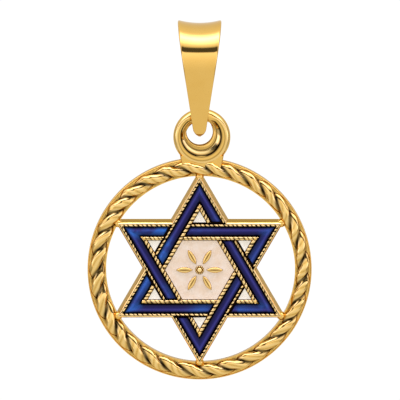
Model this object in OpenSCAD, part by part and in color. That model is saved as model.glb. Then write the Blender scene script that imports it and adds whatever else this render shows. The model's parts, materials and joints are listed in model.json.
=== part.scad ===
// Star of David pendant: a cast gold charm hanging free on a tapered bail.
// The front faces -Y and +Z is up. The origin is the inner crown of the bail, where a chain
// lies along X. All sizes are in millimetres.

/* [Ring] */
// Outer diameter of the rope ring
ring_d = 14; // [12:0.1:18]
// Width of the ring's band, seen from the front
band_w = 1.1; // [0.8:0.05:1.5]
// Height of the plain wall behind the rope
band_t = 0.6; // [0.4:0.05:1]
// Height of the rope relief in front of the plain wall
rope_h = 0.45; // [0.3:0.05:0.6]
// Plain lip beside the rope, on each edge of the band
rope_lip = 0.04; // [0.02:0.01:0.1]
// Depth of the grooves between the strands
groove_t = 0.12; // [0.05:0.01:0.2]
// Lobes of the twist all round the ring
rope_lobes = 31; // [24:1:40]
// Strands in the twist
rope_strands = 2; // [2:1:4]

/* [Star] */
// Width of one bar of the star, rail to rail
bar_w = 1.12; // [0.9:0.02:1.4]
// Width of a raised rail
rail_w = 0.25; // [0.2:0.01:0.36]
// Thickness of the star's plate, back to rail top
plate_t = 1; // [0.8:0.05:1.3]
// Depth of the enamel cells below the rail tops
cell_t = 0.36; // [0.25:0.01:0.5]
// How far the six tips sink into the ring's band, at the front
tip_sink = 0.1; // [0.05:0.01:0.3]
// How far the star's sides flare out from the front to the back
draft = 0.1; // [0.05:0.01:0.25]
// Distance from the swing plane back to the charm's flat back
back_y = 0.45; // [0.4:0.01:0.6]

/* [Enamel] */
// Thickness of the blue enamel
blue_t = 0.28; // [0.15:0.01:0.32]
// Thickness of the white enamel
white_t = 0.24; // [0.15:0.01:0.32]
// Gap between an enamel fill and its cell
fit = 0.02; // [0.01:0.01:0.04]

/* [Rosette] */
// Length of one petal
petal_l = 1.05; // [0.7:0.05:1.2]
// Width of one petal
petal_w = 0.36; // [0.2:0.02:0.44]
// Distance from the middle of the star to a petal's inner point
petal_r = 0.42; // [0.38:0.02:0.5]
// Diameter of the boss in the middle
boss_d = 0.56; // [0.3:0.02:0.6]

/* [Eye] */
// Outer diameter of the eye
eye_d = 3.56; // [3.2:0.02:4]
// Diameter of the eye's round wire
wire_d = 0.76; // [0.6:0.02:0.9]
// Height of the eye's middle over the ring's top edge
eye_rise = 1.35; // [1.2:0.01:1.6]
// Sideways place of the eye, as cast
eye_shift = 0.14; // [0:0.01:0.2]
// Web inside the eye's wire, seen from the front
web_w = 0.2; // [0.04:0.01:0.3]
// Thickness of that web
web_t = 0.44; // [0.3:0.02:0.6]
// Width of the foot where it meets the ring
foot_w = 2.44; // [1.8:0.02:2.8]
// Thickness of the foot
foot_t = 0.6; // [0.4:0.02:0.8]

/* [Bail] */
// Depth of the bail's loop, front to back
bail_depth = 4.8; // [4.2:0.1:5.6]
// Thickness of the bail's wall
bail_wall = 0.3; // [0.24:0.01:0.4]
// Width of the bail at its crown
bail_w = 2.73; // [2.2:0.01:3.4]
// Height from the eye's wire to the chain seat
bail_reach = 5.47; // [5:0.01:6.5]
// Rise of the crown's two edges over its middle
saddle = 0.19; // [0.1:0.01:0.25]
// Solid nose below the eye's wire
nose_t = 0.72; // [0.5:0.01:0.9]
// Height of the nose's rounded outline, seen from the front
nose_round = 0.46; // [0.3:0.01:0.8]

/* [Clearances] */
// Running clearance of the eye's wire in the bail's seat
run_gap = 0.03; // [0.02:0.01:0.06]
// Gap between the nose and the lower edge of the eye's opening
nose_gap = 0.5; // [0.4:0.01:0.8]
// Gap between the bail and each side of the eye's opening
side_gap = 0.27; // [0.2:0.005:0.35]

/* [Hidden] */

// Eye: the wire's ring, its opening and the heights that hang from the chain seat
wire_r = wire_d / 2;
eye_r = eye_d / 2 - wire_r;
hole_r = eye_r - wire_r - web_w;
hinge_z = -bail_reach;
eye_z = hinge_z - eye_r;
ring_r = ring_d / 2;
ring_z = eye_z - eye_rise - ring_r;

// Bail: widths, the round seat under the eye's wire, and the teardrop of the loop.
// The wire of a round eye drops away beside the bail's middle, and the seat leaves room for it.
function bail_width(z) = seat_w + (bail_w - seat_w) * (z - hinge_z) / (bail_wall - hinge_z);
seat_w = 2 * (hole_r - side_gap);
reach_w = bail_width(hinge_z + wire_d) / 2 + eye_shift;
wire_drop = eye_r - sqrt(eye_r * eye_r - reach_w * reach_w);
seat_r = wire_r + wire_drop + run_gap;
crown_r = bail_depth / 2;
crown_ri = crown_r - bail_wall;
crown_z = -crown_ri;
nose_drop = seat_r + nose_t;
nose_z = hinge_z - nose_drop;
lean = asin((crown_ri - seat_r) / (crown_z - hinge_z));
tip_r = (seat_r + bail_wall - nose_drop * sin(lean)) / (1 - sin(lean));
tip_z = nose_z + tip_r;
hole_z = nose_z - nose_gap + hole_r;

// Star: distances of a bar's two edges and its channel from the middle, and heights along Y
ring_ri = ring_r - band_w;
bar_out = (ring_ri + tip_sink) / 2;
bar_in = bar_out - bar_w;
rail_y = back_y - plate_t;
floor_y = rail_y + cell_t;
wall_y = back_y - band_t;
tips = [30 : 60 : 330];
top_tip = 90;
foot_angle = 40; // how far below the eye's middle the foot's sides leave its rim
over = 0.1; // how far a cut runs past the face that it opens

// Resolution
fn_round = 96;
rope_steps = 5;
rope_cross = 8;
crown_steps = 14;
leaf_steps = 8;
tip_steps = 7;
bail_columns = 8;

// Point where two lines meet; each line is given by its normal's angle and its distance
function meet(a, da, b, db) =
    [(da * sin(b) - db * sin(a)) / sin(b - a), (db * cos(a) - da * cos(b)) / sin(b - a)];

// Flat shape in the XZ plane made solid from y_back forward to y_front
module slab(y_back, y_front) {
    translate([0, y_back, 0])
        rotate([90, 0, 0])
            linear_extrude(height = y_back - y_front)
                children();
}

// Rope on a plain band: one closed sweep round the Y axis.
// Across the rope runs a half oval, and each groove is a crease that slants from the outer
// edge to the inner edge as it goes clockwise.
function strand_fold(turn, cross) =
    1 - groove_t / rope_h
        * (1 - abs(cos(180 * (rope_lobes * turn / 360 - rope_strands / 2 * cross / 180))));
function band_section(turn) = concat(
    [[band_w / 2, back_y], [-band_w / 2, back_y], [-band_w / 2, wall_y]],
    [for (j = [0 : rope_cross])
        let (cross = -90 + 180 * j / rope_cross, fold = strand_fold(turn, cross))
        [(band_w / 2 - rope_lip) * fold * sin(cross), wall_y - rope_h * fold * cos(cross)]],
    [[band_w / 2, wall_y]]);

module rope_ring() {
    turns = rope_lobes * rope_steps;
    sides = rope_cross + 5;
    middle = ring_r - band_w / 2;
    points = [for (i = [0 : turns - 1])
        let (turn = 360 * i / turns)
        for (p = band_section(turn))
            [(middle + p[0]) * cos(turn), p[1], (middle + p[0]) * sin(turn)]];
    faces = [for (i = [0 : turns - 1], j = [0 : sides - 1])
        let (a = i * sides + j,
             b = i * sides + (j + 1) % sides,
             c = ((i + 1) % turns) * sides + (j + 1) % sides,
             d = ((i + 1) % turns) * sides + j)
        for (f = [[a, c, b], [a, d, c]]) f];
    polyhedron(points, faces, convexity = 6);
}

// Star: outline, enamel cells and the rosette in the middle
module star_outline(out) {
    for (first = [top_tip, top_tip + 60])
        polygon([for (k = [0 : 2]) 2 * out * [cos(first + 120 * k), sin(first + 120 * k)]]);
}

module star_body() {
    translate([0, back_y, 0])
        rotate([90, 0, 0])
            linear_extrude(height = plate_t, scale = bar_out / (bar_out + draft))
                star_outline(bar_out + draft);
}

// One blue channel: its long arm passes over a crossing, and its short arm ends at one
function channel_cell(tip, gap) =
    let (outer = bar_out - rail_w - gap, inner = bar_in + rail_w + gap)
    [meet(tip + 60, outer, tip - 60, outer),
     meet(tip + 60, outer, tip + 120, bar_in - gap),
     meet(tip + 60, inner, tip + 120, bar_in - gap),
     meet(tip + 60, inner, tip - 60, inner),
     meet(tip - 60, inner, tip, bar_out + gap),
     meet(tip - 60, outer, tip, bar_out + gap)];

function tip_cell(tip, gap) =
    [meet(tip + 60, bar_in - gap, tip - 60, bar_in - gap),
     meet(tip + 60, bar_in - gap, tip, bar_out + gap),
     meet(tip - 60, bar_in - gap, tip, bar_out + gap)];

function middle_cell(gap) =
    [for (tip = tips) meet(tip, bar_in - gap, tip + 60, bar_in - gap)];

module rosette(gap) {
    arc_r = (petal_l * petal_l + petal_w * petal_w) / (4 * petal_w);
    for (tip = tips)
        rotate(tip + 30)
            translate([petal_r + petal_l / 2, 0])
                intersection_for (side = [-1, 1])
                    translate([0, side * (arc_r - petal_w / 2)])
                        circle(r = arc_r + gap, $fn = fn_round);
    circle(d = boss_d + 2 * gap, $fn = fn_round);
}

module star_plate() {
    difference() {
        star_body();
        difference() {
            slab(floor_y, rail_y - over) {
                for (tip = tips) {
                    polygon(channel_cell(tip, 0));
                    polygon(tip_cell(tip, 0));
                }
                polygon(middle_cell(0));
            }
            slab(floor_y + over, rail_y) rosette(0);
        }
    }
}

// Eye: a round wire ring with a thin web inside it, on a foot that stands on the ring's band
module eye() {
    foot_low = ring_z + ring_r - band_w / 2;
    foot_high = eye_z - eye_d / 2 * sin(foot_angle);
    foot_high_w = eye_d * cos(foot_angle);
    translate([eye_shift, 0, eye_z])
        rotate([90, 0, 0])
            rotate_extrude($fn = fn_round)
                translate([eye_r, 0]) circle(r = wire_r, $fn = fn_round);
    slab(web_t / 2, -web_t / 2)
        difference() {
            translate([eye_shift, eye_z]) circle(r = eye_r, $fn = fn_round);
            translate([0, hole_z]) circle(r = hole_r, $fn = fn_round);
        }
    translate([eye_shift, 0, 0])
        slab(foot_t / 2, -foot_t / 2)
            polygon([[-foot_w / 2, foot_low], [foot_w / 2, foot_low],
                [foot_high_w / 2, foot_high], [-foot_high_w / 2, foot_high]]);
}

module casting() {
    color("gold") {
        translate([0, 0, ring_z]) {
            rope_ring();
            star_plate();
        }
        eye();
    }
}

// Enamel fills: flat panes that stand in the cells, a small gap clear of every wall
module pane(thickness) {
    translate([0, 0, ring_z])
        slab(floor_y - fit, floor_y - fit - thickness)
            children();
}

module blue_enamel(k) {
    color("midnightblue") pane(blue_t) polygon(channel_cell(top_tip - 60 * (k - 1), fit));
}

module white_enamel_triangle(k) {
    color("linen") pane(white_t) polygon(tip_cell(top_tip - 60 * (k - 1), fit));
}

module white_enamel_hexagon() {
    color("linen")
        pane(white_t)
            difference() {
                polygon(middle_cell(fit));
                rosette(fit);
            }
}

// Bail: half outline of the loop's front, from the crown's top down to the nose.
// Each entry is a place on the teardrop and how far up its surface faces.
function arc_place(r, z, a) = [-r * cos(a), z + r * sin(a), sin(a)];
crown_end = arc_place(crown_r, crown_z, -lean);
tip_start = arc_place(tip_r, tip_z, -lean);
front_half = concat(
    [for (i = [0 : crown_steps]) arc_place(crown_r, crown_z, 90 - (90 + lean) * i / crown_steps)],
    [for (i = [1 : leaf_steps]) crown_end + (tip_start - crown_end) * i / leaf_steps],
    [for (i = [1 : tip_steps]) arc_place(tip_r, tip_z, -lean - (90 - lean) * i / tip_steps)]);
half_count = len(front_half) - 1;
outline = concat(front_half,
    [for (i = [half_count - 1 : -1 : 1]) [-front_half[i][0], front_half[i][1], front_half[i][2]]]);

function nose_share(z) =
    let (low = max(0, nose_z + nose_round - z) / nose_round) sqrt(1 - 0.98 * low * low);
function bail_point(p, across) =
    let (lift = saddle * pow(max(0, p[2]), 2) * across * across)
    [across * bail_width(p[1]) / 2 * nose_share(p[1]),
     p[0] * (1 + lift / crown_r),
     p[1] + lift * max(0, p[2])];

module bail_body() {
    n = len(outline);
    m = bail_columns + 1;
    points = [for (p = outline, j = [0 : bail_columns]) bail_point(p, 2 * j / bail_columns - 1)];
    skin = [for (i = [0 : n - 1], j = [0 : bail_columns - 1])
        let (a = i * m + j, b = a + 1, d = ((i + 1) % n) * m + j, c = d + 1)
        for (f = [[a, b, c], [a, c, d]]) f];
    sides = [for (i = [1 : half_count - 1], j = [0, bail_columns])
        let (a = i * m + j, b = (i + 1) * m + j, c = (n - i - 1) * m + j, d = (n - i) * m + j)
        for (f = i == half_count - 1 ? [[a, b, d]] : [[a, b, c], [a, c, d]])
            j == 0 ? f : [f[2], f[1], f[0]]];
    tops = [for (j = [0, bail_columns])
        let (f = [j, m + j, (n - 1) * m + j]) j == 0 ? f : [f[2], f[1], f[0]]];
    polyhedron(points, concat(skin, sides, tops), convexity = 4);
}

module loop_hollow() {
    rotate([90, 0, 90])
        linear_extrude(height = 2 * bail_w, center = true) {
            translate([0, crown_z]) circle(r = crown_ri, $fn = fn_round);
            translate([0, hinge_z]) circle(r = seat_r, $fn = fn_round);
            polygon([for (c = [[-1, crown_ri, crown_z], [-1, seat_r, hinge_z],
                               [1, seat_r, hinge_z], [1, crown_ri, crown_z]])
                [c[0] * c[1] * cos(lean), c[2] - c[1] * sin(lean)]]);
        }
}

module bail() {
    color("gold")
        difference() {
            bail_body();
            loop_hollow();
        }
}

bail();
casting();
for (k = [1 : 6]) {
    blue_enamel(k);
    white_enamel_triangle(k);
}
white_enamel_hexagon();
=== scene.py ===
# Star pendant in cast gold and enamel: the looks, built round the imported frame
import json
import math
import bmesh
import bpy
import numpy as np
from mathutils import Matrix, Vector


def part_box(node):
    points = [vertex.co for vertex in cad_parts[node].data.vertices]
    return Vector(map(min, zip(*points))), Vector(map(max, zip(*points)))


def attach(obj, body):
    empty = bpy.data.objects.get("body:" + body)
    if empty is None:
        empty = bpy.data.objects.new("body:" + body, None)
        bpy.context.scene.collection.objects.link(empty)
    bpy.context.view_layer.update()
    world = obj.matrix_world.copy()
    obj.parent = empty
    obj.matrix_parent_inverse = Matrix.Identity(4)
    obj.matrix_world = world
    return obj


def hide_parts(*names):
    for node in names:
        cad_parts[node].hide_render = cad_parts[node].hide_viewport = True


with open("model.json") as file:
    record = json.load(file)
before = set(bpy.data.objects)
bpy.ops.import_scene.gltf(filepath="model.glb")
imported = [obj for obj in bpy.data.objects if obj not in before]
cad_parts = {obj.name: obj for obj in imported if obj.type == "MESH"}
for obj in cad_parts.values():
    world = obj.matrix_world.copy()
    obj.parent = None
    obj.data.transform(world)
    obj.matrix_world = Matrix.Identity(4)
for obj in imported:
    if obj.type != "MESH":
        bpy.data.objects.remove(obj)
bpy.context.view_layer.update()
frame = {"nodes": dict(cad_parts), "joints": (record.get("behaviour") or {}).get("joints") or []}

mm = 0.001               # shapes are worked out in millimetres and written in metres
mergeMm = 0.0002         # a piece's points that lie nearer to each other than this become one
scene = bpy.context.scene
print("frame loaded:", len(frame["nodes"]), "nodes")


def boxMm(nodeName):
    # lowest and highest corner of a CAD node, in millimetres
    low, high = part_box(nodeName)
    return np.array(low) / mm, np.array(high) / mm


# The main places, read from the frame: the ring is as wide as the casting, and stands on its low edge
castLow, castHigh = boxMm("casting")
bailLow, bailHigh = boxMm("bail")
ringRadius = (castHigh[0] - castLow[0]) / 2
ringZ = castLow[2] + ringRadius
backY = castHigh[1]      # the charm's flat back
hingeZ = frame["joints"][0]["pos_m"][2] / mm
drop, loop = "drop", "bail"      # the two bodies


def linear(hexColour):
    # sRGB hex to the linear colour that a shader takes
    c = np.array([int(hexColour[i:i + 2], 16) for i in (0, 2, 4)]) / 255
    c = np.where(c <= 0.04045, c / 12.92, ((c + 0.055) / 1.055) ** 2.4)
    return (*c.tolist(), 1.0)


def addNode(tree, kind, inputs=None, stops=(), **settings):
    # one shader node: settings are its properties, inputs are socket values or the sockets that feed
    # it, and stops are a colour ramp's places and colours
    made = tree.nodes.new("ShaderNode" + kind)
    for name, value in settings.items():
        setattr(made, name, value)
    for name, value in (inputs or {}).items():
        if isinstance(value, bpy.types.NodeSocket):
            tree.links.new(value, made.inputs[name])
        else:
            made.inputs[name].default_value = value
    if stops:
        elements = made.color_ramp.elements
        for _ in stops[2:]:
            elements.new(0.5)
        for element, (place, colour) in zip(elements, stops):
            element.position, element.color = place, colour
    return made


def beside(*grids):
    # grids put side by side, so that each row runs on
    return np.concatenate(grids, axis=1)


def gridFaces(rows, cols, loopRows=False, loopCols=False):
    # quads between the neighbours of a rows x cols grid, closed round where asked
    r = np.arange(rows if loopRows else rows - 1)[:, None]
    c = np.arange(cols if loopCols else cols - 1)[None, :]
    r2, c2 = (r + 1) % rows, (c + 1) % cols
    corners = r * cols + c, r * cols + c2, r2 * cols + c2, r2 * cols + c
    return np.stack(np.broadcast_arrays(*corners), axis=-1).reshape(-1, 4)


def tube(points):
    # a grid whose rows are closed sections: the sides, and one cap at each end
    rows, cols = points.shape[:2]
    ends = [np.arange(cols)[None, ::-1], (rows - 1) * cols + np.arange(cols)[None, :]]
    return points.reshape(-1, 3), [gridFaces(rows, cols, loopCols=True), *ends]


def hoop(points):
    # a grid closed both ways
    rows, cols = points.shape[:2]
    return points.reshape(-1, 3), [gridFaces(rows, cols, loopRows=True, loopCols=True)]


def addPiece(name, parts, material, body, nodes, sharpAngle=50):
    # parts are (points in mm, lists of faces) and, where a piece has them, its marks by name, one
    # number a point; doubles are merged and the faces turned outwards
    starts = np.cumsum([0] + [len(part[0]) for part in parts])
    points = np.concatenate([part[0] for part in parts]) * mm
    faces = []
    for part, start in zip(parts, starts):
        for group in part[1]:
            faces += (group + start).tolist()
    mesh = bpy.data.meshes.new(name)
    mesh.from_pydata(points.tolist(), [], faces)
    for label in parts[0][2] if len(parts[0]) > 2 else ():
        values = np.concatenate([part[2][label].ravel() for part in parts]).astype(np.float32)
        mesh.attributes.new(label, "FLOAT", "POINT").data.foreach_set("value", values)
    work = bmesh.new()
    work.from_mesh(mesh)
    bmesh.ops.remove_doubles(work, verts=work.verts, dist=mergeMm * mm)
    bmesh.ops.dissolve_degenerate(work, edges=work.edges, dist=mergeMm * mm)
    bmesh.ops.recalc_face_normals(work, faces=work.faces)
    work.to_mesh(mesh)
    work.free()
    mesh.shade_smooth()
    mesh.set_sharp_from_angle(angle=math.radians(sharpAngle))
    mesh.materials.append(material)
    piece = bpy.data.objects.new(name, mesh)
    scene.collection.objects.link(piece)
    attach(piece, body)
    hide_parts(*nodes)
    return piece


# Materials

def startMaterial(name, values):
    # an empty material with one Principled shader; values are set on its own sockets
    material = bpy.data.materials.new(name)
    material.use_nodes = True
    tree = material.node_tree
    tree.nodes.clear()
    shader = addNode(tree, "BsdfPrincipled", values)
    addNode(tree, "OutputMaterial", {"Surface": shader.outputs[0]})
    return material, tree, shader


# 14 karat yellow gold: one colour and a slightly deeper one that it varies to at random, a near-black
# colour for painted shade and painted dark reflections, and a pale one for painted highlights
goldLook = {
    "colour": "E1B763",
    "deepColour": "DBAE57",
    # near-black, for painted shade and painted dark reflections
    "paintedDarkColour": "120802",
    "edgeTint": "EDD9B2",    # keeps cast gold warm where it is seen at a flat angle
    # pale gold, for painted highlights
    "paintedHighlightColour": "FBE7AE",
    "polishRoughness": 0.06,
    "castRoughness": 0.09,
    "castSpread": (0.6, 1.6),    # its smoothest and roughest spots, as shares of that
    "rippleMm": 0.9,         # size of the slow ripple, and of the fine skin that casting leaves
    "skinMm": 0.16,
    "rippleBump": 0.05,      # strength of each as relief, and the height that 1 stands for
    "skinBump": 0.15,
    "bumpMm": 0.02,
}


def polishedGold():
    # wheel-polished 14 karat gold: mirror-like, with a faint slow ripple from the wheel
    look = {"Metallic": 1.0, "Roughness": goldLook["polishRoughness"]}
    material, tree, shader = startMaterial("polished 14k gold", look)
    place = addNode(tree, "TexCoord")
    ripple = addNode(tree, "TexNoise", {"Vector": place.outputs["Object"],
                     "Scale": 1 / (goldLook["rippleMm"] * mm), "Detail": 2.0})
    tint = addNode(tree, "Mix", {0: ripple.outputs["Fac"], 6: linear(goldLook["colour"]),
                   7: linear(goldLook["deepColour"])}, data_type="RGBA")
    bump = addNode(tree, "Bump", {"Height": ripple.outputs["Fac"],
                   "Strength": goldLook["rippleBump"], "Distance": goldLook["bumpMm"] * mm})
    tree.links.new(tint.outputs[2], shader.inputs["Base Color"])
    tree.links.new(bump.outputs[0], shader.inputs["Normal"])
    return material


def castGold():
    # cast 14 karat gold, tumbled bright: mirror-like with the fine skin that casting leaves, with
    # painted shade and painted dark reflections, and painted highlights, where a mesh marks them
    look = {"Metallic": 1.0, "Specular Tint": linear(goldLook["edgeTint"])}
    material, tree, shader = startMaterial("cast 14k gold", look)
    place = addNode(tree, "TexCoord")
    recess = addNode(tree, "Attribute", attribute_name="recess")
    shine = addNode(tree, "Attribute", attribute_name="shine")
    skin = addNode(tree, "TexNoise", {"Vector": place.outputs["Object"],
                   "Scale": 1 / (goldLook["skinMm"] * mm), "Detail": 3.0})
    slow = addNode(tree, "TexNoise", {"Vector": place.outputs["Object"],
                   "Scale": 1 / (goldLook["rippleMm"] * mm), "Detail": 2.0})
    tint = addNode(tree, "Mix", {0: slow.outputs["Fac"], 6: linear(goldLook["colour"]),
                   7: linear(goldLook["deepColour"])}, data_type="RGBA")
    # painted highlight, where the mesh marks it
    bright = addNode(tree, "Mix", {0: shine.outputs["Fac"], 6: tint.outputs[2],
                     7: linear(goldLook["paintedHighlightColour"])}, data_type="RGBA")
    # painted shade and painted dark reflections, where the mesh marks them
    paintedDarkening = addNode(tree, "Mix", {0: recess.outputs["Fac"], 6: bright.outputs[2],
                   7: linear(goldLook["paintedDarkColour"])}, data_type="RGBA")
    smoothest, roughest = [goldLook["castRoughness"] * share for share in goldLook["castSpread"]]
    rough = addNode(tree, "MapRange", {"Value": skin.outputs["Fac"], "To Min": smoothest,
                    "To Max": roughest})
    bump = addNode(tree, "Bump", {"Height": skin.outputs["Fac"],
                   "Strength": goldLook["skinBump"], "Distance": goldLook["bumpMm"] * mm})
    tree.links.new(paintedDarkening.outputs[2], shader.inputs["Base Color"])
    tree.links.new(rough.outputs[0], shader.inputs["Roughness"])
    tree.links.new(bump.outputs[0], shader.inputs["Normal"])
    return material


enamelLook = {
    # blue with painted shade at the walls of a channel and a painted highlight where its arch stands
    # highest, as (how far up the arch, colour)
    "blueShading": ((0.2, "05030F"), (0.42, "14103E"), (0.68, "1E1D54"), (1.0, "343273")),
    # painted light: the bright blue of the patches
    "blueBright": "2B69BC",
    "blueRoughness": 0.15,
    "blueGleam": 0.1,        # its surface mirrors little: the colour lies deep in it
    "cloudMm": 1.1,          # size of the painted light patches, and the noise over which they fade in
    "cloudFrom": 0.35,
    "cloudTo": 0.5,
    "cream": "DECCB4",
    "creamDeep": "D9C1A3",
    "white": "EBE5D3",
    "whiteDeep": "E3DBC7",
    "satinRoughness": 0.42,
    "mottleMm": 0.45,        # size of the mottle, and the noise over which it turns deep
    "mottleFrom": 0.35,
    "mottleTo": 0.65,
    "mottleBump": 0.2,       # its strength as relief, and the height that 1 stands for
    "bumpMm": 0.02,
}


def blueEnamel():
    # fired blue enamel: painted shade, deep ink, at the walls, a painted highlight of lighter violet
    # along the middle, and painted light, bright blue, in patches
    look = {"IOR": 1.5, "Roughness": enamelLook["blueRoughness"],
            "Specular IOR Level": enamelLook["blueGleam"]}
    material, tree, shader = startMaterial("fired blue enamel", look)
    across = addNode(tree, "Attribute", attribute_name="across")
    glow = addNode(tree, "Attribute", attribute_name="glow")
    place = addNode(tree, "TexCoord")
    cloud = addNode(tree, "TexNoise", {"Vector": place.outputs["Object"],
                    "Scale": 1 / (enamelLook["cloudMm"] * mm), "Detail": 3.0})
    # painted shade at the walls and a painted highlight along the middle
    depth = addNode(tree, "ValToRGB", {"Fac": across.outputs["Fac"]},
                    stops=[(up, linear(colour)) for up, colour in enamelLook["blueShading"]])
    # painted light: the noise over which the bright blue patches fade in
    clear = addNode(tree, "MapRange", {"Value": cloud.outputs["Fac"],
                    "From Min": enamelLook["cloudFrom"], "From Max": enamelLook["cloudTo"]})
    patch = addNode(tree, "Math", {0: glow.outputs["Fac"], 1: clear.outputs[0]},
                    operation="MULTIPLY")
    lightPatch = addNode(tree, "Math", {0: patch.outputs[0], 1: across.outputs["Fac"]},
                   operation="MULTIPLY")
    bright = addNode(tree, "Mix", {0: lightPatch.outputs[0], 6: depth.outputs[0],
                     7: linear(enamelLook["blueBright"])}, data_type="RGBA")
    tree.links.new(bright.outputs[2], shader.inputs["Base Color"])
    return material


def satinEnamel(shade):
    # opaque cream or white enamel, ground back and left satin: a soft milky face, faintly mottled
    look = {"IOR": 1.5, "Roughness": enamelLook["satinRoughness"]}
    material, tree, shader = startMaterial(f"satin {shade} enamel", look)
    place = addNode(tree, "TexCoord")
    mottle = addNode(tree, "TexNoise", {"Vector": place.outputs["Object"],
                     "Scale": 1 / (enamelLook["mottleMm"] * mm), "Detail": 4.0})
    spread = addNode(tree, "MapRange", {"Value": mottle.outputs["Fac"],
                     "From Min": enamelLook["mottleFrom"], "From Max": enamelLook["mottleTo"]})
    tint = addNode(tree, "Mix", {0: spread.outputs[0], 6: linear(enamelLook[shade]),
                   7: linear(enamelLook[shade + "Deep"])}, data_type="RGBA")
    bump = addNode(tree, "Bump", {"Height": mottle.outputs["Fac"],
                   "Strength": enamelLook["mottleBump"], "Distance": enamelLook["bumpMm"] * mm})
    tree.links.new(tint.outputs[2], shader.inputs["Base Color"])
    tree.links.new(bump.outputs[0], shader.inputs["Normal"])
    return material


polished, cast, blue = polishedGold(), castGold(), blueEnamel()
cream, white = satinEnamel("cream"), satinEnamel("white")
print("materials made")


# The twisted ring

rope = {
    "band": 1.1,         # width of the ring's band, seen from the front
    "bandSwing": 0.06,   # how much wider than that it was cast on the left, and narrower on the right
    "wallY": -0.15,      # front of the plain wall, which carries the rope
    "height": 0.45,      # rope relief in front of the wall
    "lipOut": 0.09,      # plain lip outside the rope, and inside it
    "lipIn": 0.03,
    "lipHeight": 0.07,
    "edge": 0.08,        # rounding of the back's two edges
    "lobes": 31,         # strands that cross the band, counted round the ring
    "slant": 1,          # how many lobes a groove runs along the ring while it crosses the band
    "groove": 0.21,      # depth between strands
    "ridges": 3,         # fine ridges along each strand, and their depth
    "ridgeDepth": 0.02,
    "ridgeSway": 0.5,    # how far the ridges wander off the strand's own line, in its phase
    "swayWaves": 3,      # how often round the ring
    "uneven": 0.35,      # how far the hand-cut strands stray from an even pitch, in their phase
    "strayWaves": (5, 13, 29),    # waves round the ring that add up to that
    # painted shade and painted dark reflection lines: how dark a groove is, and a gap between ridges,
    # and how steeply the dark falls off
    "grooveDark": 3.6,
    "grooveFall": 4,
    "ridgeDark": 0.5,
    "ridgeFall": 5,
    "darkVaries": 0.1,   # how much the grooves' dark changes round the ring
    "shine": 0.35,       # strength of the painted highlight on the ridges
    "perLobe": 26,
    "acrossSteps": 30,
    "edgeSteps": 3,
    "lipSteps": 6,
}


def ropeRing():
    # Across the band runs a flat back with round corners, a plain wall, a low lip and half an oval
    # for the rope. The oval shrinks to a groove where the cosine of the phase is nought, and the
    # phase grows with the turn and falls across the band, so the grooves slant. Fine ridges follow
    # the strands, at three times the phase.
    count = rope["lobes"] * rope["perLobe"]
    turn = 2 * math.pi * np.arange(count)[:, None] / count
    cross = np.linspace(math.pi / 2, -math.pi / 2, rope["acrossSteps"] + 1)[None, :]
    waves = [np.sin(wave * turn + shift) for shift, wave in enumerate(rope["strayWaves"])]
    stray = rope["uneven"] * sum(waves) / len(waves)
    phase = math.pi * (rope["lobes"] * turn / (2 * math.pi) - rope["slant"] * cross / math.pi) + stray
    swell = np.abs(np.cos(phase))
    sway = rope["ridgeSway"] * np.sin(cross + rope["swayWaves"] * turn)
    fine = np.abs(np.sin(rope["ridges"] * (phase + sway)))
    fold = 1 - rope["groove"] / rope["height"] * (1 - swell)
    fold = fold - rope["ridgeDepth"] / rope["height"] * (1 - fine) * swell

    half = rope["band"] / 2
    ropeHalf = half - (rope["lipOut"] + rope["lipIn"]) / 2
    front = np.stack([(rope["lipIn"] - rope["lipOut"]) / 2 + ropeHalf * fold * np.sin(cross),
                      rope["wallY"] - rope["height"] * fold * np.cos(cross)], axis=-1)
    quarter = np.linspace(0, math.pi / 2, rope["edgeSteps"] + 1)
    inner = np.stack([-half + rope["edge"] * (1 - np.cos(quarter)),
                      backY - rope["edge"] * (1 - np.sin(quarter))], axis=-1)
    lipTurn = np.linspace(0, math.pi, rope["lipSteps"] + 1)
    lip = np.stack([half - rope["lipOut"] / 2 * (1 - np.cos(lipTurn)),
                    rope["wallY"] - rope["lipHeight"] * np.sin(lipTurn)], axis=-1)
    plain = np.concatenate([[[-half, rope["wallY"]]], inner, inner[::-1] * [-1, 1], lip])
    section = beside(front, np.broadcast_to(plain, (count, *plain.shape)))
    width = 1 - rope["bandSwing"] / rope["band"] * np.cos(turn)
    radius = ringRadius - (half - section[..., 0]) * width
    points = np.stack([radius * np.cos(turn), section[..., 1], ringZ + radius * np.sin(turn)], axis=-1)

    # painted shade and painted dark reflection lines in grooves and between ridges; painted highlight on
    # ridges
    tone = 1 - rope["darkVaries"] * (1 - np.sin(9 * turn + 2 * cross))
    groove = np.clip(rope["grooveDark"] * (1 - swell) ** rope["grooveFall"], 0, 1) * tone
    dark = np.maximum(groove, rope["ridgeDark"] * (1 - fine) ** rope["ridgeFall"])
    shine = rope["shine"] * fine ** 2 * np.cos(cross)
    bare = np.zeros((count, len(plain)))
    return *hoop(points), {"recess": beside(dark, bare), "shine": beside(shine, bare)}


addPiece("rope_ring", [ropeRing()], cast, drop, ["casting"], sharpAngle=60)
print("rope ring made")


# The star's plate

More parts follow.
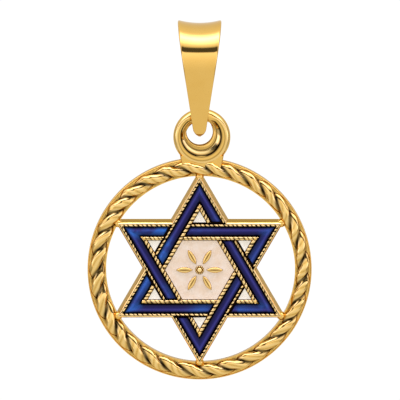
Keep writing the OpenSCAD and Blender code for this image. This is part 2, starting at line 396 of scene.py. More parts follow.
star = {
    "sink": 0.1,         # how far the tips sink into the ring
    "draft": 0.1,        # how far the sides flare out towards the back
    "barWidth": 1.12,
    "railWidth": 0.25,
    "railY": -0.55,      # tops of the rails' beads
    "floorY": -0.19,     # floor of the cells
    "backInset": 0.03,   # how far the plate's back lies inside the ring's, where the tips run into it
    "backEdge": 0.04,    # rounding of the plate's back edge
    "rim": 0.09,         # plain rounded rim outside an outer rail's beads
    "rimDrop": 0.03,     # how far its top lies behind the beads' tops
    "rimRound": 1.5,     # power of its rounding: 1 is a quarter circle and 2 a flat bevel
    "rimFrom": 0.3,      # where the rounding starts and ends, in radians
    "rimTo": 1.57,
    "rimSteps": 4,
    "rimBehind": ((1.3, 0.02), (1.6, 0.04)),    # behind it: how many rims in, and how much deeper
    "edgeDark": 0.1,     # how dark the painted shade is on the back edge, and on the sides
    "sideDark": 0.4,
    "shine": 0.45,       # strength of the painted highlight on rims and beads
}
barOut = (ringRadius - rope["band"] + star["sink"]) / 2
barIn = barOut - star["barWidth"]
sixth = math.pi / 3      # a sixth of a turn, from one tip to the next
tipAngles = np.radians(90 - 60 * np.arange(6))       # the six tips, from the top one clockwise


def normal(angle):
    return np.stack([np.cos(angle), np.sin(angle)], axis=-1)


def bell(x, at, wide):
    # a bell curve, 1 in its middle
    return np.exp(-((x - at) / wide) ** 2)


def meet(a, da, b, db):
    # point where two lines meet; each is given by its normal's angle and its distance from the middle
    da, db = np.asarray(da, float), np.asarray(db, float)
    x, z = da * np.sin(b) - db * np.sin(a), db * np.cos(a) - da * np.cos(b)
    return np.stack([x, z], axis=-1) / np.sin(b - a)


def standing(flat, y):
    # points of the star's flat drawing, stood up in the frame at depth y
    flat, y = np.broadcast_arrays(flat, np.asarray(y, float)[..., None])
    return np.stack([flat[..., 0], y[..., 0], ringZ + flat[..., 1]], axis=-1)


def overFloor(flat, y, floor):
    # rows of points at depth y, each closed by the same row on a flat floor
    return beside(standing(flat, y), standing(flat, floor)[:, ::-1])


def topMarks(**marks):
    # marks for such rows: their own numbers on top and nought on the floor
    return {label: beside(values, 0 * values) for label, values in marks.items()}


def starPlate():
    # The twelve corners of the star, lofted from the back up the sloping sides, over a rounded rim
    # and down behind it to the cells' floor. A star scaled about its middle has every side moved out
    # by the same distance.
    outer = 2 * normal(tipAngles)
    inner = normal(tipAngles - sixth / 2) / math.cos(sixth / 2)
    outline = np.stack([outer, inner], axis=1).reshape(-1, 2)
    back, edge, rim = barOut + star["draft"], star["backEdge"], star["rim"]
    low, top = backY - star["backInset"], star["railY"] + star["rimDrop"]
    # each level has the sides' distance from the middle, its depth, how dark its painted shade is and
    # how strong its painted highlight is; the first two keep the back flat up to its edge
    levels = [(back - 1.25 * edge, low, 0, 0), (back - edge, low, star["edgeDark"], 0),
              (back, low - edge, star["sideDark"], 0),
              (barOut + rim / 9, top + rim, star["sideDark"], 0)]
    for t in np.linspace(star["rimFrom"], star["rimTo"], star["rimSteps"] + 1):
        levels.append((barOut - rim * (1 - math.cos(t) ** star["rimRound"]),
                       top + rim * (1 - math.sin(t) ** star["rimRound"]),
                       0, star["shine"] if t > star["rimFrom"] else 0))
    # behind the rim and down to the floor the painted shade is full
    levels += [(barOut - rims * rim, top + deeper, 1, 0) for rims, deeper in star["rimBehind"]]
    levels.append((barOut - 2 * rim, star["floorY"], 1, 0))
    size, y, dark, shine = np.array(levels).T[..., None]
    even = np.ones((1, len(outline)))
    return *tube(standing(outline * size[..., None], y)), {"recess": dark * even, "shine": shine * even}


addPiece("star_plate", [starPlate()], cast, drop, ["casting"], sharpAngle=30)


# The milgrain rails along the star's bars

beading = {
    "pitch": 0.29,       # length of one bead
    "height": 0.15,
    "round": 2.2,        # power of a bead's outline along the rail: 2 is round, and more is squarer
    "gap": 0.9,          # share of the bead's height that a gap cuts away
    "narrow": 0.28,      # share of the rail's width that a full gap draws in
    "varies": 0.12,      # share of the height by which beads differ
    "uneven": 0.16,      # how far a gap strays along the rail, as a share of a bead
    "slant": 0.6,        # how far the gaps lean along the rail, for each millimetre across it
    # how crisp the beads still are on each bar's outer and inner rails, from the top bar clockwise
    "crispOuter": (0.75, 0.55, 0.95, 0.85, 0.85, 1.0),
    "crispInner": (0.45, 0.75, 0.85, 0.45, 0.9, 1.0),
    "gapDark": 3.2,      # painted shade: how dark a gap is, and how much of that a bead's crown is spared
    "gapSpared": 0.2,
    "sideFrom": 0.7,     # how many bead heights down a rail's sides turn dark with painted shade, and over how many
    "sideOver": 0.5,
    "paintedLineDark": 1.3,     # the painted dark reflection line on a worn rail
    "paintedLinePlace": (0.2, 0.3),    # its place and half width, in radians over the rail's round top
    "crownWide": 0.7,    # power of the painted highlight across a bead: less is wider
    "crownShort": 1.4,   # how fast it falls off along the bead
    "beadSteps": 8,
    "acrossSteps": 10,
}


def rail(bar, dLow, dHigh, endA, endB, crisp):
    # A rail runs along the bar whose normal is given, between two distances from the middle, and is
    # cut at each end by a line. Its section has upright sides and a round top; along the rail the top
    # swells and falls as a row of rounded beads, where they are crisp. Where they are worn, a thin
    # painted dark reflection line runs along the top. Painted shade darkens the gaps and the rails'
    # sides, and a painted highlight lies on the beads' crowns. The numbers inside the sines are
    # arbitrary: they only keep the beads from being alike.
    across = np.linspace(-math.pi / 2, math.pi / 2, beading["acrossSteps"] + 1)[None, :]
    half, middle = (dHigh - dLow) / 2, (dHigh + dLow) / 2
    tangent = normal(bar + math.pi / 2)
    start, stop = [meet(bar, middle, *end) @ tangent for end in (endA, endB)]
    beads = max(1, round((stop - start) / beading["pitch"]))
    pitch = (stop - start) / beads
    steps, extra = beading["beadSteps"], math.ceil(half * 2 / pitch)
    s = np.arange(-extra * steps, (beads + extra) * steps + 1)[:, None] / steps
    place = s + beading["uneven"] * np.sin(2.4 * s + 3 * bar) * np.sin(1.1 * s + 7 * middle)
    bead = np.floor(place)
    swell = np.sqrt(1 - np.abs(2 * (place - bead) - 1) ** beading["round"])
    size = 1 - crisp * beading["gap"] * (1 - swell)
    size = size - beading["varies"] * np.sin(2.9 * bead + 5 * middle) ** 2

    offset = middle + half * np.sin(across) * (1 - beading["narrow"] * (1 - size))
    top = star["railY"] + beading["height"] * (1 - size * np.cos(across))
    side = np.zeros_like(s)
    offset = beside(side + dLow, offset, side + dHigh)
    y = beside(side + star["floorY"], top, side + star["floorY"])
    first, last = [meet(bar, offset, *end) @ tangent for end in (endA, endB)]
    along = np.clip(start + s * pitch + beading["slant"] * (offset - middle), first, last)
    flat = offset[..., None] * normal(bar) + along[..., None] * tangent

    # painted shade down the sides and in the gaps, a painted dark reflection line, a painted highlight
    low = (y - star["railY"]) / beading["height"]
    low = np.clip((low - beading["sideFrom"]) / beading["sideOver"], 0, 1)
    paintedDarkening = (1 - crisp) * bell(across, *beading["paintedLinePlace"]) * (0.75 + 0.5 * np.sin(1.7 * s + 5 * bar))
    paintedDarkening = beside(side, paintedDarkening, side)
    gaps = crisp * ((1 - swell) * beading["gapDark"] - beading["gapSpared"])
    crown = np.maximum(np.cos(across), 0) ** beading["crownWide"]
    crown = crown * np.clip(1 - beading["crownShort"] * (1 - swell), 0, 1)
    marks = {"recess": np.clip(gaps + low + beading["paintedLineDark"] * paintedDarkening, 0, 1),
             "shine": star["shine"] * beside(side, crown, side)}
    return *tube(standing(flat, y)), marks


def starRails():
    # each bar passes over the next one clockwise and under the next one the other way
    width, rim = star["railWidth"], star["rim"]
    rails = []
    for bar, crispOut, crispIn in zip(tipAngles, beading["crispOuter"], beading["crispInner"]):
        before, after, farBar = bar - 2 * sixth, bar + sixth, bar + 2 * sixth
        outside, inside = (barOut - width, barOut - rim), (barIn, barIn + width)
        rails += [rail(bar, *outside, (before, barOut - rim), (after, barIn), crispOut),
                  rail(bar, *inside, (before, barIn + width), (after, barIn), crispIn),
                  rail(bar, *outside, (after, barOut), (farBar, barOut - rim), crispOut),
                  rail(bar, *inside, (after, barOut), (farBar, barIn + width), crispIn)]
    return rails


addPiece("milgrain_rails", starRails(), cast, drop, ["casting"], sharpAngle=60)


# Fillets at the star's tips

fillet = {
    "postInset": 0.12,   # how far inside its tip a post stands
    "postRadius": 0.27,
    "postY": -0.2,       # where its dome starts, and how far that rises
    "postDome": 0.3,
    "postBack": 0.06,    # how far its foot stays inside the back
    "postFoot": 0.75,    # the foot's radius, as a share of the post's
    "beadOutset": 0.12,  # how far outside the inner edges of its two rails a bead sits
    "beadRadius": 0.12,
    "beadY": -0.42,
    "beadDome": 0.14,
    "pole": 0.05,        # the cap at a dome's pole, in radians
    "round": 16,
    "steps": 10,
}


def dome(flat, radius, y, depth, foot=None):
    # half a ball that faces forward, as rings round the Y axis from its rim to its pole, on a
    # tapered post where a foot is given
    ring = normal(np.linspace(0, 2 * math.pi, fillet["round"], endpoint=False))
    rise = np.linspace(0, math.pi / 2 - fillet["pole"], fillet["steps"])[:, None]
    rows = standing(flat + radius * np.cos(rise)[..., None] * ring, y - depth * np.sin(rise))
    if foot is not None:
        post = standing(flat + fillet["postFoot"] * radius * ring, foot)
        rows = np.concatenate([post[None], rows])
    return tube(rows)


def tipFillets():
    # a post of cast gold where each tip runs into the ring, and a round bead in each inner mitre
    parts = []
    for tip in tipAngles:
        point, mitre = 2 * barOut - fillet["postInset"], barIn + fillet["beadOutset"]
        parts.append(dome(normal(tip) * point, fillet["postRadius"], fillet["postY"],
                          fillet["postDome"], backY - fillet["postBack"]))
        parts.append(dome(meet(tip + sixth, mitre, tip - sixth, mitre), fillet["beadRadius"],
                          fillet["beadY"], fillet["beadDome"]))
    return parts


addPiece("tip_fillets", tipFillets(), cast, drop, ["casting"])
print("star plate and rails made")


# The enamel between the rails

enamel = {
    # painted light, bright blue, in each channel, from the top one clockwise: along its short arm and
    # tip, and at the far end of its long arm
    "glow": (0.2, 0.3, 0.6, 0.05, 0.8, 1.0),
    "endGlow": (1.0, 0.2, 0.1, 0.1, 0.5, 0.3),
    "tipReach": 0.45,    # how far the glow spreads along the channel from the tip
    "endReach": (0.6, 0.7),      # where the glow at the far end lies, and how far it spreads
    # where the painted highlight along the blue is brightest and over what width, as shares of the
    # channel from its outer wall; beside that it is half as bright
    "vein": (0.35, 0.175),
    "endShadeFade": 1.6,     # how soon the painted shade at a channel's ends gives way
    "blueTop": -0.45,    # how far forward the blue stands at its middle
    "edgeDrop": 0.12,    # how much lower it lies at the walls
    "creamTop": -0.42,
    "creamDrop": 0.03,
    "gap": 0.02,         # between the enamel and the gold round it and under it
    "steps": 14,         # across a channel, and along its long and its short arm
    "longSteps": 60,
    "shortSteps": 30,
    "faceSteps": 8,      # each way over a cream face
}
enamelFloor = star["floorY"] - enamel["gap"]


def channel(tip, tipGlow, endGlow):
    # A blue channel is ruled across from its outer to its inner wall, with a mitre at the tip. The
    # surface is an arch across the channel, and falls at both ends like the arch.
    gap, tipRow = enamel["gap"], enamel["longSteps"]
    side = np.linspace(0, 1, enamel["steps"] + 1)
    outside, inside = barOut - star["railWidth"] - gap, barIn + star["railWidth"] + gap
    d = outside + (inside - outside) * side
    start = meet(tip + sixth, d, tip + 2 * sixth, barIn - gap)
    mitre = meet(tip + sixth, d, tip - sixth, d)
    stop = meet(tip - sixth, d, tip, barOut + gap)
    u = np.linspace(0, 1, tipRow + 1)[:-1, None, None]
    v = np.linspace(0, 1, enamel["shortSteps"] + 1)[:, None, None]
    flat = np.concatenate([start + (mitre - start) * u, mitre + (stop - mitre) * v])
    step = np.linalg.norm(np.diff(flat[:, enamel["steps"] // 2], axis=0), axis=-1)
    run = np.concatenate([[0], np.cumsum(step)])
    fromEnd = np.minimum(run, run[-1] - run) / (abs(inside - outside) / 2)
    arch = np.sqrt(1 - (2 * side - 1) ** 2)[None, :]
    fall = np.sqrt(1 - (1 - np.clip(fromEnd, 0, 1)) ** 2)[:, None]
    height = arch * fall
    y = enamel["blueTop"] + enamel["edgeDrop"] * (1 - height)

    # painted light: where the bright blue patches lie
    nearTip = bell(run, run[tipRow], enamel["tipReach"])
    shortArm = np.clip((run - run[tipRow]) / (run[-1] - run[tipRow]), 0, 1)
    farEnd = bell(run, *enamel["endReach"])
    glow = np.maximum(np.maximum(nearTip, shortArm) * tipGlow, farEnd * endGlow)[:, None] + 0 * height
    # painted shade at the walls and ends, and a painted highlight along the middle
    across = (1 - np.abs(2 * side - 1) ** 3) * (0.5 + 0.5 * bell(side, *enamel["vein"]))
    across = across * np.clip(fall * enamel["endShadeFade"], 0, 1)
    return *tube(overFloor(flat, y, enamelFloor)), topMarks(across=across, glow=glow)


def blueFill(number, tip):
    name = f"blue_enamel_{number}"
    part = channel(tip, enamel["glow"][number - 1], enamel["endGlow"][number - 1])
    addPiece("fired_" + name, [part], blue, drop, [name])


def triangleFill(number, tip):
    # A flat white triangle, ruled from its base to its far corner. It is a little hollow: the depth is
    # the product of the distances from its three sides, and 27 makes that 1 in the middle.
    base, left, right = (tip, barOut + enamel["gap"]), tip + sixth, tip - sixth
    wall = barIn - enamel["gap"]
    corners = meet(right, wall, *base), meet(left, wall, *base), meet(left, wall, right, wall)
    u = np.linspace(0, 1, enamel["faceSteps"] + 1)[:, None, None]
    v = np.linspace(0, 1, enamel["faceSteps"] + 1)[None, :, None]
    flat = (corners[0] + (corners[1] - corners[0]) * u) * (1 - v) + corners[2] * v
    hollow = 27 * ((1 - u) * (1 - v) * u * (1 - v) * v)[..., 0]
    y = enamel["creamTop"] + enamel["creamDrop"] * hollow
    name = f"white_enamel_triangle_{number}"
    part = tube(overFloor(flat, y, enamelFloor))
    addPiece("satin_" + name, [part], white, drop, [name])


for number, tip in enumerate(tipAngles, start=1):
    blueFill(number, tip)
    triangleFill(number, tip)


# The hexagon: cream enamel round a raised rosette

rosette = {
    "petalLength": 1.05,
    "petalWidth": 0.36,
    "petalStart": 0.42,
    "top": -0.55,
    "dome": 0.12,        # height of the petals' and the boss's rounding
    "vein": 0.05,        # depth of a petal's vein, and its half width as a share of the petal's
    "veinWide": 0.2,
    # painted shade along a petal's vein
    "veinDark": 0.75,
    "sideFrom": 0.6,     # how many domes down a petal's sides turn dark with painted shade, and over how many
    "sideOver": 0.3,
    "shine": 0.4,        # strength of the painted highlight on a petal, on both sides of its vein
    "shineAt": 0.5,      # where that is brightest and how wide, as shares of half the petal
    "shineWide": 0.3,
    "steps": 16,         # points along a petal, and steps across it
    "acrossSteps": 16,
    "boss": 0.56,
    "edgeSteps": 6,      # along the boss between two petals
    "bossBeads": 12,
    "perBead": 8,
    "bossNotch": 0.35,   # depth between its beads, in domes
    # the boss from its edge over the beads to the groove: share of its radius, depth in domes, how
    # dark its painted shade is, how strong its painted highlight is, and 1 where it is cut into beads
    "bossEdge": ((1, 1, 1, 0, 0), (0.97, 0.6, 0.5, 0, 1), (0.86, 0.4, 0, 0.5, 1),
                 (0.74, 0.5, 0, 0.3, 1), (0.64, 0.9, 1, 0, 0)),
    "cap": 0.58,         # radius of the cap inside the groove, as a share of the boss's
    "capFoot": 0.8,      # depth of its foot, in domes
    # painted highlight on the cap
    "capShine": 0.5,
    "capTo": 1.45,       # angle up to which the cap is curved, in radians; its top is flat
    "capSteps": 6,
}


def petalSide(angle, side, count):
    # one arc of a lens-shaped petal, from its inner point to its outer point
    long, wide = rosette["petalLength"], rosette["petalWidth"]
    arc = (long ** 2 + wide ** 2) / (4 * wide)
    x = np.linspace(-long / 2, long / 2, count)
    z = side * (np.sqrt(arc ** 2 - x ** 2) - arc + wide / 2)
    flat = np.stack([rosette["petalStart"] + long / 2 + x, z], axis=-1)
    return flat @ np.array([[math.cos(angle), math.sin(angle)], [-math.sin(angle), math.cos(angle)]])


def hexagonFill():
    # Each of six sectors is ruled from the rosette's edge, which is petal, boss and petal, to one side
    # of the hexagon. Its face lies over a floor, with a wall along the rosette and one at the rails.
    wall, count = barIn - enamel["gap"], rosette["steps"]
    v = np.linspace(0, 1, enamel["faceSteps"] + 1)[None, :, None]
    parts = []
    for tip in tipAngles:
        left, right = tip + sixth / 2, tip - sixth / 2
        sweep = normal(np.linspace(left, right, rosette["edgeSteps"] + 1))
        inner = np.concatenate([petalSide(left, -1, count)[::-1], rosette["boss"] / 2 * sweep,
                                petalSide(right, 1, count)])
        length = np.concatenate([[0], np.cumsum(np.linalg.norm(np.diff(inner, axis=0), axis=-1))])
        share = (length / length[-1])[:, None]
        start, stop = meet(tip, wall, tip + sixth, wall), meet(tip, wall, tip - sixth, wall)
        outer = start + (stop - start) * share
        flat = inner[:, None] + (outer - inner)[:, None] * v
        hollow = 4 * (v * (1 - v))[..., 0] * np.ones((len(inner), 1))    # 1 halfway
        face = standing(flat, enamel["creamTop"] + enamel["creamDrop"] * hollow)
        floor = standing(flat, enamelFloor)
        walls = [np.stack([face[:, edge], floor[:, edge]], axis=1) for edge in (0, -1)]
        for sheet in (face, floor, *walls):
            parts.append((sheet.reshape(-1, 3), [gridFaces(*sheet.shape[:2])]))
    addPiece("satin_white_enamel_hexagon", parts, cream, drop, ["white_enamel_hexagon"])


def petal(angle):
    # ruled between its two arcs, with a rounded top that dips to a vein along the middle
    a, b = petalSide(angle, -1, rosette["steps"]), petalSide(angle, 1, rosette["steps"])
    s = np.sin(np.linspace(-math.pi / 2, math.pi / 2, rosette["acrossSteps"] + 1))[None, :]
    flat = a[:, None] + (b - a)[:, None] * (s[..., None] / 2 + 0.5)
    width = np.linalg.norm(b - a, axis=-1)[:, None] / rosette["petalWidth"]
    vein = bell(s, 0, rosette["veinWide"]) * width
    rise = np.sqrt(np.clip(1 - s ** 2, 0, 1)) * np.sqrt(width)
    down = 1 - rise + rosette["vein"] / rosette["dome"] * vein      # depth in domes
    # painted shade down a petal's sides and along its vein, and a painted highlight beside the vein
    dark = np.clip((down - rosette["sideFrom"]) / rosette["sideOver"], 0, 1) + rosette["veinDark"] * vein
    crown = np.clip(1 - ((np.abs(s) - rosette["shineAt"]) / rosette["shineWide"]) ** 2, 0, 1) * width
    rows = overFloor(flat, rosette["top"] + rosette["dome"] * down, star["floorY"])
    return *tube(rows), topMarks(recess=np.clip(dark, 0, 1), shine=rosette["shine"] * crown)


def boss():
    # a low dome with a ring of small beads round it, as rings from its foot to its middle; the beads
    # follow the cosine of the turn
    ring = np.linspace(0, 2 * math.pi, rosette["bossBeads"] * rosette["perBead"], endpoint=False)
    lobes = np.abs(np.cos(ring * rosette["bossBeads"] / 2))
    top, rise = rosette["top"], rosette["dome"]
    profile = [(1, star["floorY"], 1, 0, 0)]
    profile += [(size, top + down * rise, *marks) for size, down, *marks in rosette["bossEdge"]]
    profile += [(rosette["cap"] * math.cos(t), top + rise * (rosette["capFoot"] - math.sin(t)), 0,
                 rosette["capShine"] * math.sin(t), 0)
                for t in np.linspace(0, rosette["capTo"], rosette["capSteps"] + 1)]
    size, y, dark, shine, beaded = np.array(profile).T[..., None]
    notch = (1 - lobes) * beaded
    flat = rosette["boss"] / 2 * size[..., None] * normal(ring)
    rows = standing(flat, y + rosette["bossNotch"] * rise * notch)
    # painted shade at the boss's edge, in its groove and between its beads; painted highlights on beads
    # and cap
    return *tube(rows), {"recess": np.clip(dark + notch, 0, 1), "shine": shine * (1 - notch)}


hexagonFill()
petals = [petal(angle) for angle in tipAngles + sixth / 2]
addPiece("rosette", [*petals, boss()], cast, drop, ["casting"])
print("enamel and rosette made")


# The eye on its foot

eye = {
    "outer": 3.56,
    "wire": 0.76,
    "shift": 0.14,       # how far right of the middle it was cast
    "web": 0.2,          # how far the web reaches in from the wire
    "crest": 1.5,        # radius of the rim's crest
    "crestY": 0.43,      # how far the crest stands from the swing plane, in front and behind
    "webY": 0.16,        # the same for the dished web inside it
    "noseGap": 0.5,      # from the bail's nose down to the hole's edge
    "plainTo": 25,       # degrees from the top within which the rim is a plain wire
    "fancyFrom": 40,     # degrees from the top beyond which it has its full section
    # the step from the crest to the web: share of the way to the hole, and share of the fall
    "fall": ((0, 0), (0.14, 0.02), (0.28, 0.1), (0.4, 0.42), (0.62, 0.95), (0.7, 1), (1, 1)),
    "bead": (0.8, 0.05),    # the fine bead in the web: its place and half width, and its height
    "beadHeight": 0.035,
    "holeDrop": 0.1,     # how far the web rounds off at the hole, and from where
    "holeFrom": 0.9,
    # painted dark lines in the web, standing for dark reflections and shade, as share of the way to
    # the hole, half width and strength
    "lines": ((0.06, 0.04, 0.5), (0.34, 0.085, 1.15), (0.66, 0.045, 0.9), (0.78, 0.03, 0.3),
              (0.97, 0.05, 0.5)),
    "rimShine": 0.25,    # strength of the painted highlight on the rim
    "webShine": 0.5,     # a painted highlight line in the web: its strength, its place and its half width
    "webShineAt": 0.52,
    "webShineWide": 0.12,
    "footWidth": 2.44,
    "footThick": 0.78,
    "footEdge": 0.12,
    "footAngle": 40,     # degrees below the eye's middle at which the foot leaves its rim
    "steps": 144,
    "rimSteps": 9,
    "webSteps": 36,
    "footSteps": 16,
    "edgeSteps": 4,
}
wireRadius = eye["wire"] / 2
eyeRadius = eye["outer"] / 2 - wireRadius
eyeZ = hingeZ - eyeRadius
holeRadius = eyeRadius - wireRadius - eye["web"]
holeZ = bailLow[2] - eye["noseGap"] + holeRadius


def eyeRing():
    # Half a section runs from the rim's equator over a quarter oval to the crest, down a steep step to
    # a dished web with one fine bead, and round the hole's edge; the back half is its mirror image.
    # The hole is a circle of its own, whose middle lies above the eye's. Under the bail the section
    # runs over to a plain round wire, which the bail's seat turns on.
    turn = np.linspace(0, 2 * math.pi, eye["steps"], endpoint=False)[:, None]
    toHole = np.array([-eye["shift"], holeZ - eyeZ])
    along = normal(turn[:, 0]) @ toHole
    edge = along + np.sqrt(along ** 2 - toHole @ toHole + holeRadius ** 2)
    edge = np.minimum(edge, eyeRadius - wireRadius)[:, None]
    over = np.linspace(0, math.pi / 2, eye["rimSteps"] + 1)[None, :]
    q = np.linspace(0, 1, eye["webSteps"] + 1)[None, 1:]     # share of the way from crest to hole
    fall = (eye["crestY"] - eye["webY"]) * np.interp(q, *np.transpose(eye["fall"]))
    bead = eye["beadHeight"] * bell(q, *eye["bead"])
    rounded = eye["holeDrop"] * np.clip((q - eye["holeFrom"]) / (1 - eye["holeFrom"]), 0, 1) ** 2
    radius = beside(eye["crest"] + (eye["outer"] / 2 - eye["crest"]) * np.cos(over) + 0 * edge,
                    eye["crest"] - (eye["crest"] - edge) * q)
    y = beside(eye["crestY"] * np.sin(over), eye["crestY"] - fall + bead - rounded)

    fromTop = np.abs(np.degrees(turn) - 90)
    fancy = np.clip((fromTop - eye["plainTo"]) / (eye["fancyFrom"] - eye["plainTo"]), 0, 1)
    bend = beside(over, math.pi / 2 * (1 + q))
    wireOut, wireY = eyeRadius + wireRadius * np.cos(bend), wireRadius * np.sin(bend)
    radius = wireOut + fancy * (radius - wireOut)
    y = wireY + fancy * (y - wireY)

    # painted dark reflection lines and shade in the web, and painted highlights on the rim and web
    dark = sum(depth * bell(q, place, wide) for place, wide, depth in eye["lines"])
    recess = fancy * beside(over * 0, np.clip(dark, 0, 1))
    line = np.clip(1 - np.abs(q - eye["webShineAt"]) / eye["webShineWide"], 0, 1)
    shine = fancy * beside(eye["rimShine"] * np.sin(over), eye["webShine"] * line)
    halves = (radius, radius), (-y, y), (recess, recess), (shine, shine)
    radius, y, recess, shine = [beside(a[:, 1:], b[:, ::-1]) for a, b in halves]
    points = np.stack([eye["shift"] + radius * np.cos(turn), y, eyeZ + radius * np.sin(turn)], axis=-1)
    return *hoop(points), {"recess": recess, "shine": shine}


def eyeFoot():
    # the foot narrows from the eye's rim to the ring; its four edges are quarter circles
    angle = math.radians(eye["footAngle"])
    low, high = ringZ + ringRadius - rope["band"] / 2, eyeZ - eye["outer"] / 2 * math.sin(angle)
    narrow, wide = eye["footWidth"] / 2, eye["outer"] / 2 * math.cos(angle)
    up = np.linspace(0, 1, eye["footSteps"] + 1)[:, None]
    half, thick, inset = narrow + (wide - narrow) * up, eye["footThick"] / 2, eye["footEdge"]
    corner = np.linspace(0, math.pi / 2, eye["edgeSteps"] + 1)
    around = np.concatenate([corner + quarter * math.pi / 2 for quarter in range(4)])
    sideX = np.repeat([1, -1, -1, 1], len(corner))
    sideY = np.repeat([1, 1, -1, -1], len(corner))
    x = eye["shift"] + (half - inset) * sideX + inset * np.cos(around)
    y = (thick - inset) * sideY + inset * np.sin(around)
    z = low + (high - low) * up
    plain = np.zeros(x.shape)
    return *tube(np.stack(np.broadcast_arrays(x, y, z), axis=-1)), {"recess": plain, "shine": plain}


addPiece("eye", [eyeRing(), eyeFoot()], cast, drop, ["casting"])
print("eye made")


# The bail

bail = {
    "depth": 4.8,
    "wall": 0.3,
    "sideGap": 0.27,     # between the bail and the sides of the eye's hole
    "runGap": 0.03,      # between its seat and the eye's wire
    "saddle": 0.19,      # how far the crown's side edges are lifted
    "noseRound": 0.46,   # height over which the nose narrows to its round end
    "noseDraw": 0.98,    # how far it narrows: at 1 it would end in a point
    "edge": 0.12,        # rounding of the edges
    "noseEdge": 0.03,    # how much rounder the edges are at the nose's end
    "crownSteps": 40,
    "leafSteps": 30,
    "noseSteps": 14,
    "acrossSteps": 16,
    "edgeSteps": 4,
}


def bailHalfWidth(z):
    # from the crown's width down to one that passes the eye's hole
    width, seatWidth = bailHigh[0] - bailLow[0], 2 * (holeRadius - bail["sideGap"])
    return (seatWidth + (width - seatWidth) * (z - hingeZ) / (bail["wall"] - hingeZ)) / 2


def bailOutline():
    # The loop's outline is a teardrop: an arc over the crown, a straight leaf down each side and a
    # small arc round the nose. The leaves touch both arcs. The seat inside the nose is round the
    # hinge: its radius is half the eye's wire, what the eye's curve drops over the bail's width, and
    # a running gap. Each place has an outer and an inner point, and how far it faces up.
    crown, crownIn = bail["depth"] / 2, bail["depth"] / 2 - bail["wall"]
    reach = bailHalfWidth(hingeZ + eye["wire"]) + eye["shift"]
    seat = wireRadius + eyeRadius - math.sqrt(eyeRadius ** 2 - reach ** 2) + bail["runGap"]
    lean = math.asin((crownIn - seat) / (-crownIn - hingeZ))
    noseZ = bailLow[2]
    nose = (seat + bail["wall"] - (hingeZ - noseZ) * math.sin(lean)) / (1 - math.sin(lean))

    def arc(radius, z, angle):
        return np.stack([-radius * np.cos(angle), z + radius * np.sin(angle)], axis=-1)

    over = np.linspace(math.pi / 2, -lean, bail["crownSteps"] + 1)
    under = np.linspace(-lean, -math.pi / 2, bail["noseSteps"] + 1)
    leaf = np.linspace(0, 1, bail["leafSteps"] + 1)[1:-1, None]
    outer = [arc(crown, -crownIn, over), arc(nose, noseZ + nose, under)]
    inner = [arc(crownIn, -crownIn, over), arc(seat, hingeZ, under)]
    outer.insert(1, outer[0][-1] + (outer[1][0] - outer[0][-1]) * leaf)
    inner.insert(1, inner[0][-1] + (inner[1][0] - inner[0][-1]) * leaf)
    up = [np.sin(over), np.full(len(leaf), -math.sin(lean)), np.sin(under)]
    outer, inner, up = np.concatenate(outer), np.concatenate(inner), np.concatenate(up)
    mirror = [-1, 1]
    outer = np.concatenate([outer, outer[-2:0:-1] * mirror])
    inner = np.concatenate([inner, inner[-2:0:-1] * mirror])
    return outer[:, None], inner[:, None], np.concatenate([up, up[-2:0:-1]])[:, None]


def bailLoop():
    # Round the teardrop runs a section like a flat bar with round edges, given by how far across and
    # how deep each point lies. The crown's side edges are lifted into a saddle, by the square of the
    # distance from the middle.
    outer, inner, up = bailOutline()
    thick = np.linalg.norm(outer - inner, axis=-1)
    nosed = np.clip(bailLow[2] + bail["noseRound"] - outer[..., 1], 0, None) / bail["noseRound"]
    half = bailHalfWidth(outer[..., 1]) * np.sqrt(1 - bail["noseDraw"] * nosed ** 2)
    edge = bail["edge"] + bail["noseEdge"] * nosed
    corner = np.linspace(0, math.pi / 2, bail["edgeSteps"] + 1)
    rise, fall = edge * np.sin(corner), edge * np.cos(corner)
    flat = np.linspace(-1, 1, bail["acrossSteps"] + 1)[1:-1]
    inset, face = half - edge, 0 * half * flat
    x = beside(inset * flat, inset + rise, inset + fall,
               inset * flat[::-1], -inset - rise, -inset - fall)
    depth = beside(face, edge - fall, thick - edge + rise,
                   face + thick, thick - edge + fall, edge - rise)
    inward = (inner - outer) / np.maximum(thick, 1e-6)[..., None]
    place = outer + inward * depth[..., None]
    lift = bail["saddle"] * np.clip(up, 0, None) ** 4 * (x / half) ** 2
    y = place[..., 0] * (1 + lift / (bail["depth"] / 2))
    z = place[..., 1] + lift * np.clip(up, 0, None)
    return hoop(np.stack([x, y, z], axis=-1))


addPiece("polished_bail", [bailLoop()], polished, loop, ["bail"], sharpAngle=60)
print("bail made")


# Studio: world and camera

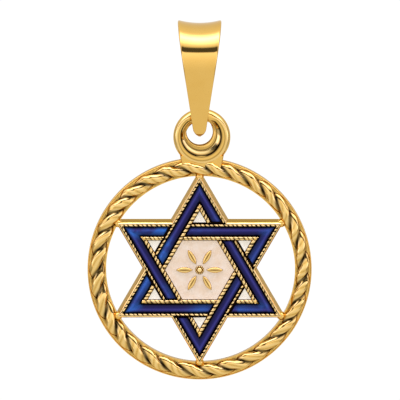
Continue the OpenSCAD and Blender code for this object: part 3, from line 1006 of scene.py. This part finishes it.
studio = {
    "viewMm": 24.96,     # what the picture's width shows at the pendant
    "elevation": 9.5,    # degrees by which the camera looks down
    "distanceMm": 600,
    "aim": (0.025, 0, -10.86),
    "sensorMm": 36,
    "clipMm": (10, 20000),    # nearest and farthest that it sees
    # light by the angle round the X axis, in degrees: 0 is straight ahead of the pendant, 90 overhead.
    # The room and the box overhead share their light from below and from behind.
    "below": [(-180, 0.88), (-150, 0.9), (-100, 1.0), (-20, 1.03), (-5, 1.12), (12, 1.28), (24, 1.5),
              (33, 1.65)],
    "room": [(35, 0.05), (48, 0.05), (51, 0.9), (56, 1.3), (100, 1.2)],
    "softBox": [(35.5, 0.1), (47.5, 0.1), (51, 1.0), (56, 1.45), (62, 2.3), (70, 3.8), (78, 5.4),
                (85, 4.0), (91, 2.3), (96, 1.5), (101, 1.2), (112, 1.1)],
    "behind": [(125, 1.0), (150, 0.9), (180, 0.88)],
    "sideBox": [(-180, 0.88), (-150, 0.9), (-60, 1.0), (-35, 1.2), (-25, 3.4), (30, 3.4), (35, 0.05),
                (48, 0.05), (57, 2.8), (100, 2.8), (120, 1.2), (150, 0.9), (180, 0.88)],
    "boxTint": (1.0, 0.97, 1.25),    # the boxes' cool light, against the neutral room
    "coolFrom": 1.2,     # light level at which the tint sets in, and at which it is full
    "coolTo": 2.0,
    "boxSide": 0.8,      # how far aside the overhead box reaches, as a share of a unit direction
    "sideStart": 0.72,   # where the side boxes begin
    "soft": 0.18,        # width of their soft edges
    # share of the light left, by how far aside it is: the room is darker far out at the sides
    "sides": [(0, 1), (0.74, 1), (0.84, 0.6), (1, 0.6)],
    "sheet": 1.04,       # the white sheet that the camera sees behind the piece
}
brightest = max(level for _, level in studio["softBox"])


def lightStops(levels):
    # angles and light levels as a ramp's stops, in which the brightest level is 1
    stops = []
    for degrees, level in levels:
        cool = min(max((level - studio["coolFrom"]) / (studio["coolTo"] - studio["coolFrom"]), 0), 1)
        colour = [level / brightest * (1 - cool + cool * c) for c in studio["boxTint"]]
        stops.append(((degrees + 180) / 360, (*colour, 1)))
    return stops


def worldLight():
    # a bright soft box overhead, one at each side, a pale room, and a dark gap in front of the
    # overhead box
    world = bpy.data.worlds.new("studio room")
    scene.world = world
    world.use_nodes = True
    tree = world.node_tree
    tree.nodes.clear()
    place = addNode(tree, "TexCoord")
    way = addNode(tree, "SeparateXYZ", {0: place.outputs["Generated"]})
    ahead = addNode(tree, "Math", {0: way.outputs["Y"], 1: -1.0}, operation="MULTIPLY")
    angle = addNode(tree, "Math", {0: way.outputs["Z"], 1: ahead.outputs[0]},
                    operation="ARCTAN2")
    turn = addNode(tree, "MapRange", {"Value": angle.outputs[0], "From Min": -math.pi,
                   "From Max": math.pi})
    aside = addNode(tree, "Math", {0: way.outputs["X"]}, operation="ABSOLUTE")
    overhead = studio["below"] + studio["softBox"] + studio["behind"]
    lit = addNode(tree, "ValToRGB", {"Fac": turn.outputs[0]}, stops=lightStops(overhead)).outputs[0]
    for levels, edge in ((studio["below"] + studio["room"] + studio["behind"], studio["boxSide"]),
                         (studio["sideBox"], studio["sideStart"])):
        light = addNode(tree, "ValToRGB", {"Fac": turn.outputs[0]}, stops=lightStops(levels))
        past = addNode(tree, "MapRange", {"Value": aside.outputs[0], "From Min": edge,
                       "From Max": edge + studio["soft"]})
        lit = addNode(tree, "Mix", {0: past.outputs[0], 6: lit, 7: light.outputs[0]},
                      data_type="RGBA").outputs[2]
    shade = addNode(tree, "ValToRGB", {"Fac": aside.outputs[0]},
                    stops=[(share, (level, level, level, 1)) for share, level in studio["sides"]])
    lit = addNode(tree, "Mix", {0: 1.0, 6: lit, 7: shade.outputs[0]}, data_type="RGBA",
                  blend_type="MULTIPLY").outputs[2]
    back = addNode(tree, "Background", {"Color": lit, "Strength": brightest})
    # the room only lights the piece; behind it the camera sees a plain white sheet
    sheet = addNode(tree, "Background", {"Color": (1, 1, 1, 1), "Strength": studio["sheet"]})
    ray = addNode(tree, "LightPath")
    seen = addNode(tree, "MixShader", {0: ray.outputs["Is Camera Ray"], 1: back.outputs[0],
                   2: sheet.outputs[0]})
    addNode(tree, "OutputWorld", {"Surface": seen.outputs[0]})


def addCamera():
    camera = bpy.data.cameras.new("camera")
    camera.sensor_width = studio["sensorMm"]
    camera.lens = camera.sensor_width * studio["distanceMm"] / studio["viewMm"]
    camera.clip_start, camera.clip_end = [limit * mm for limit in studio["clipMm"]]
    angle = math.radians(studio["elevation"])
    away = Vector((0, -math.cos(angle), math.sin(angle)))
    view = bpy.data.objects.new("camera", camera)
    view.location = Vector(studio["aim"]) * mm + away * studio["distanceMm"] * mm
    view.rotation_euler = (-away).to_track_quat("-Z", "Y").to_euler()
    scene.collection.objects.link(view)
    scene.camera = view


worldLight()
addCamera()
scene.view_settings.view_transform = "Standard"
print("studio made")
